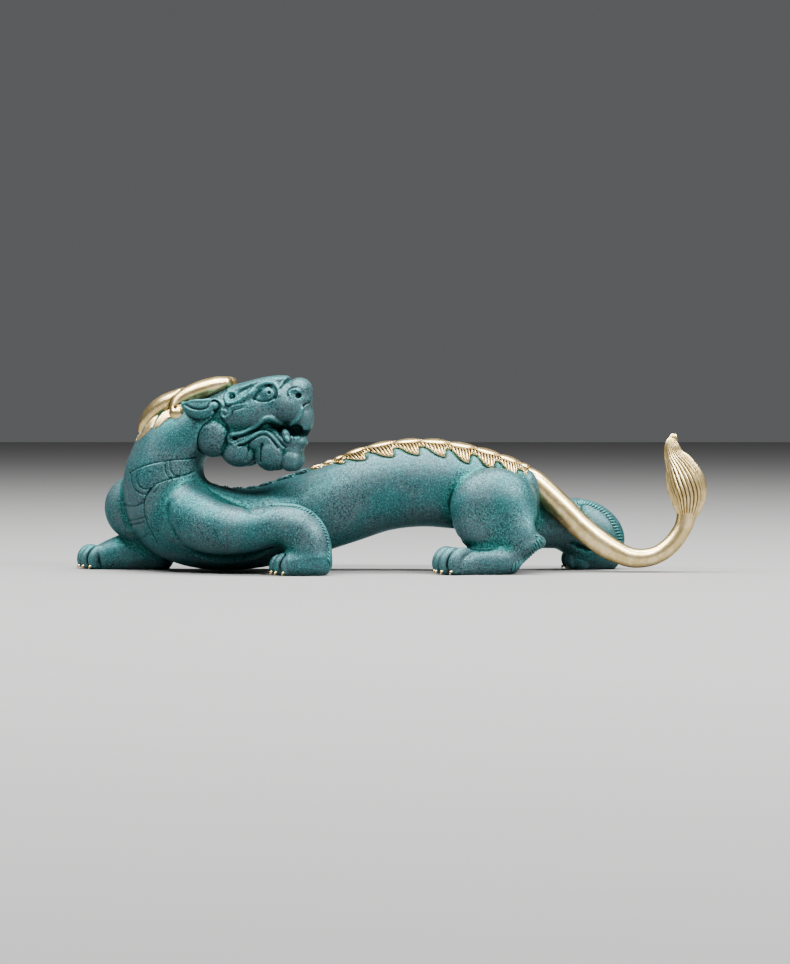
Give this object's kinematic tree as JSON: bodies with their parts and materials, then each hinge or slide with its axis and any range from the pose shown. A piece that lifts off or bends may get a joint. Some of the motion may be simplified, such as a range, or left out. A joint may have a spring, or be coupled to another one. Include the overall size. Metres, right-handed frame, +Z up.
{
  "type": "pixiu statue",
  "caption": "Cast brass guardian beast with a long low body, a head that looks back, a leaf crest and a raised tail.",
  "frame": {"origin": "centre of the footprint, on the surface that the statue stands on", "axes": "+Z up; +X towards the tail, so the beast walks towards -X; -Y is the side that the head looks to"},
  "size_m": [0.3164, 0.07, 0.0981],
  "materials": {
    "pixiu": "blue-green patina with a satin sheen; the horn, mane, crest and tail are bare brushed brass"
  },
  "bodies": {
    "root": {"pixiu": "pixiu"}
  },
  "joints": []
}
